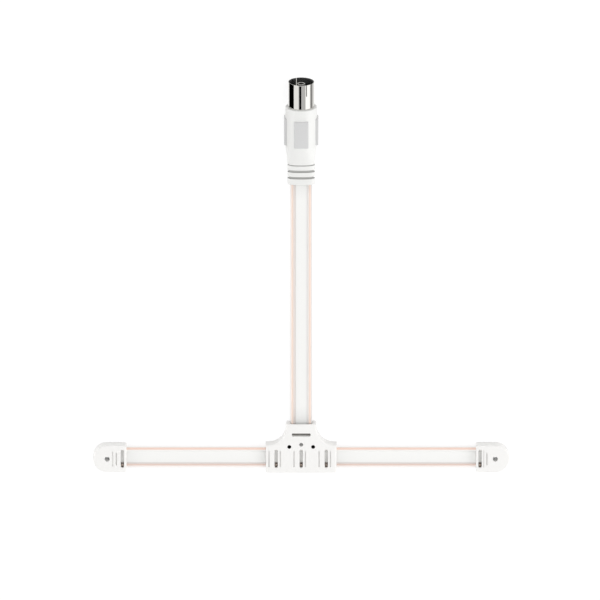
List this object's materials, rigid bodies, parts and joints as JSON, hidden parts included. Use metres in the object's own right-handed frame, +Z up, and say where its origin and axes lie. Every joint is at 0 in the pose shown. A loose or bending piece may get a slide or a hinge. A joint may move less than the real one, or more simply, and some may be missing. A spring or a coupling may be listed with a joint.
{
  "type": "dipole antenna",
  "caption": "Flat T-shaped folded dipole of twin-lead ribbon with moulded junction, end caps with nail holes, and a feeder to a coaxial socket.",
  "frame": {"origin": "on the back face of the junction moulding, where the line of the arms crosses the plane of symmetry", "axes": "+X along the right arm, +Y along the feeder towards the plug, +Z up out of the front face"},
  "size_m": [0.1712, 0.1712, 0.014],
  "materials": {
    "white_pvc": "satin moulded",
    "ribbon_insulation": "milky extruded",
    "copper_strand": "bare stranded copper",
    "solder": "tinned",
    "nickel_plate": "bright nickel plate",
    "socket_insulation": "moulded",
    "inner_mould_plastic": "natural moulded",
    "ferrite": "sintered"
  },
  "bodies": {
    "root": {"junction_moulding": "white_pvc", "left_end_cap": "white_pvc", "right_end_cap": "white_pvc", "dipole_ribbon": "ribbon_insulation", "dipole_lower_conductor": "copper_strand", "dipole_upper_left_conductor": "copper_strand", "dipole_upper_right_conductor": "copper_strand", "left_end_short": "solder", "right_end_short": "solder", "feeder_ribbon": "ribbon_insulation", "feeder_left_conductor": "copper_strand", "feeder_right_conductor": "copper_strand", "junction_left_joint": "solder", "junction_right_joint": "solder", "plug_grip": "white_pvc", "plug_inner_mould": "inner_mould_plastic", "socket_shell": "nickel_plate", "socket_insulator": "socket_insulation", "centre_contact": "nickel_plate", "balun_core": "ferrite", "balun_ribbon_winding": "copper_strand", "balun_socket_winding": "copper_strand"}
  },
  "joints": []
}
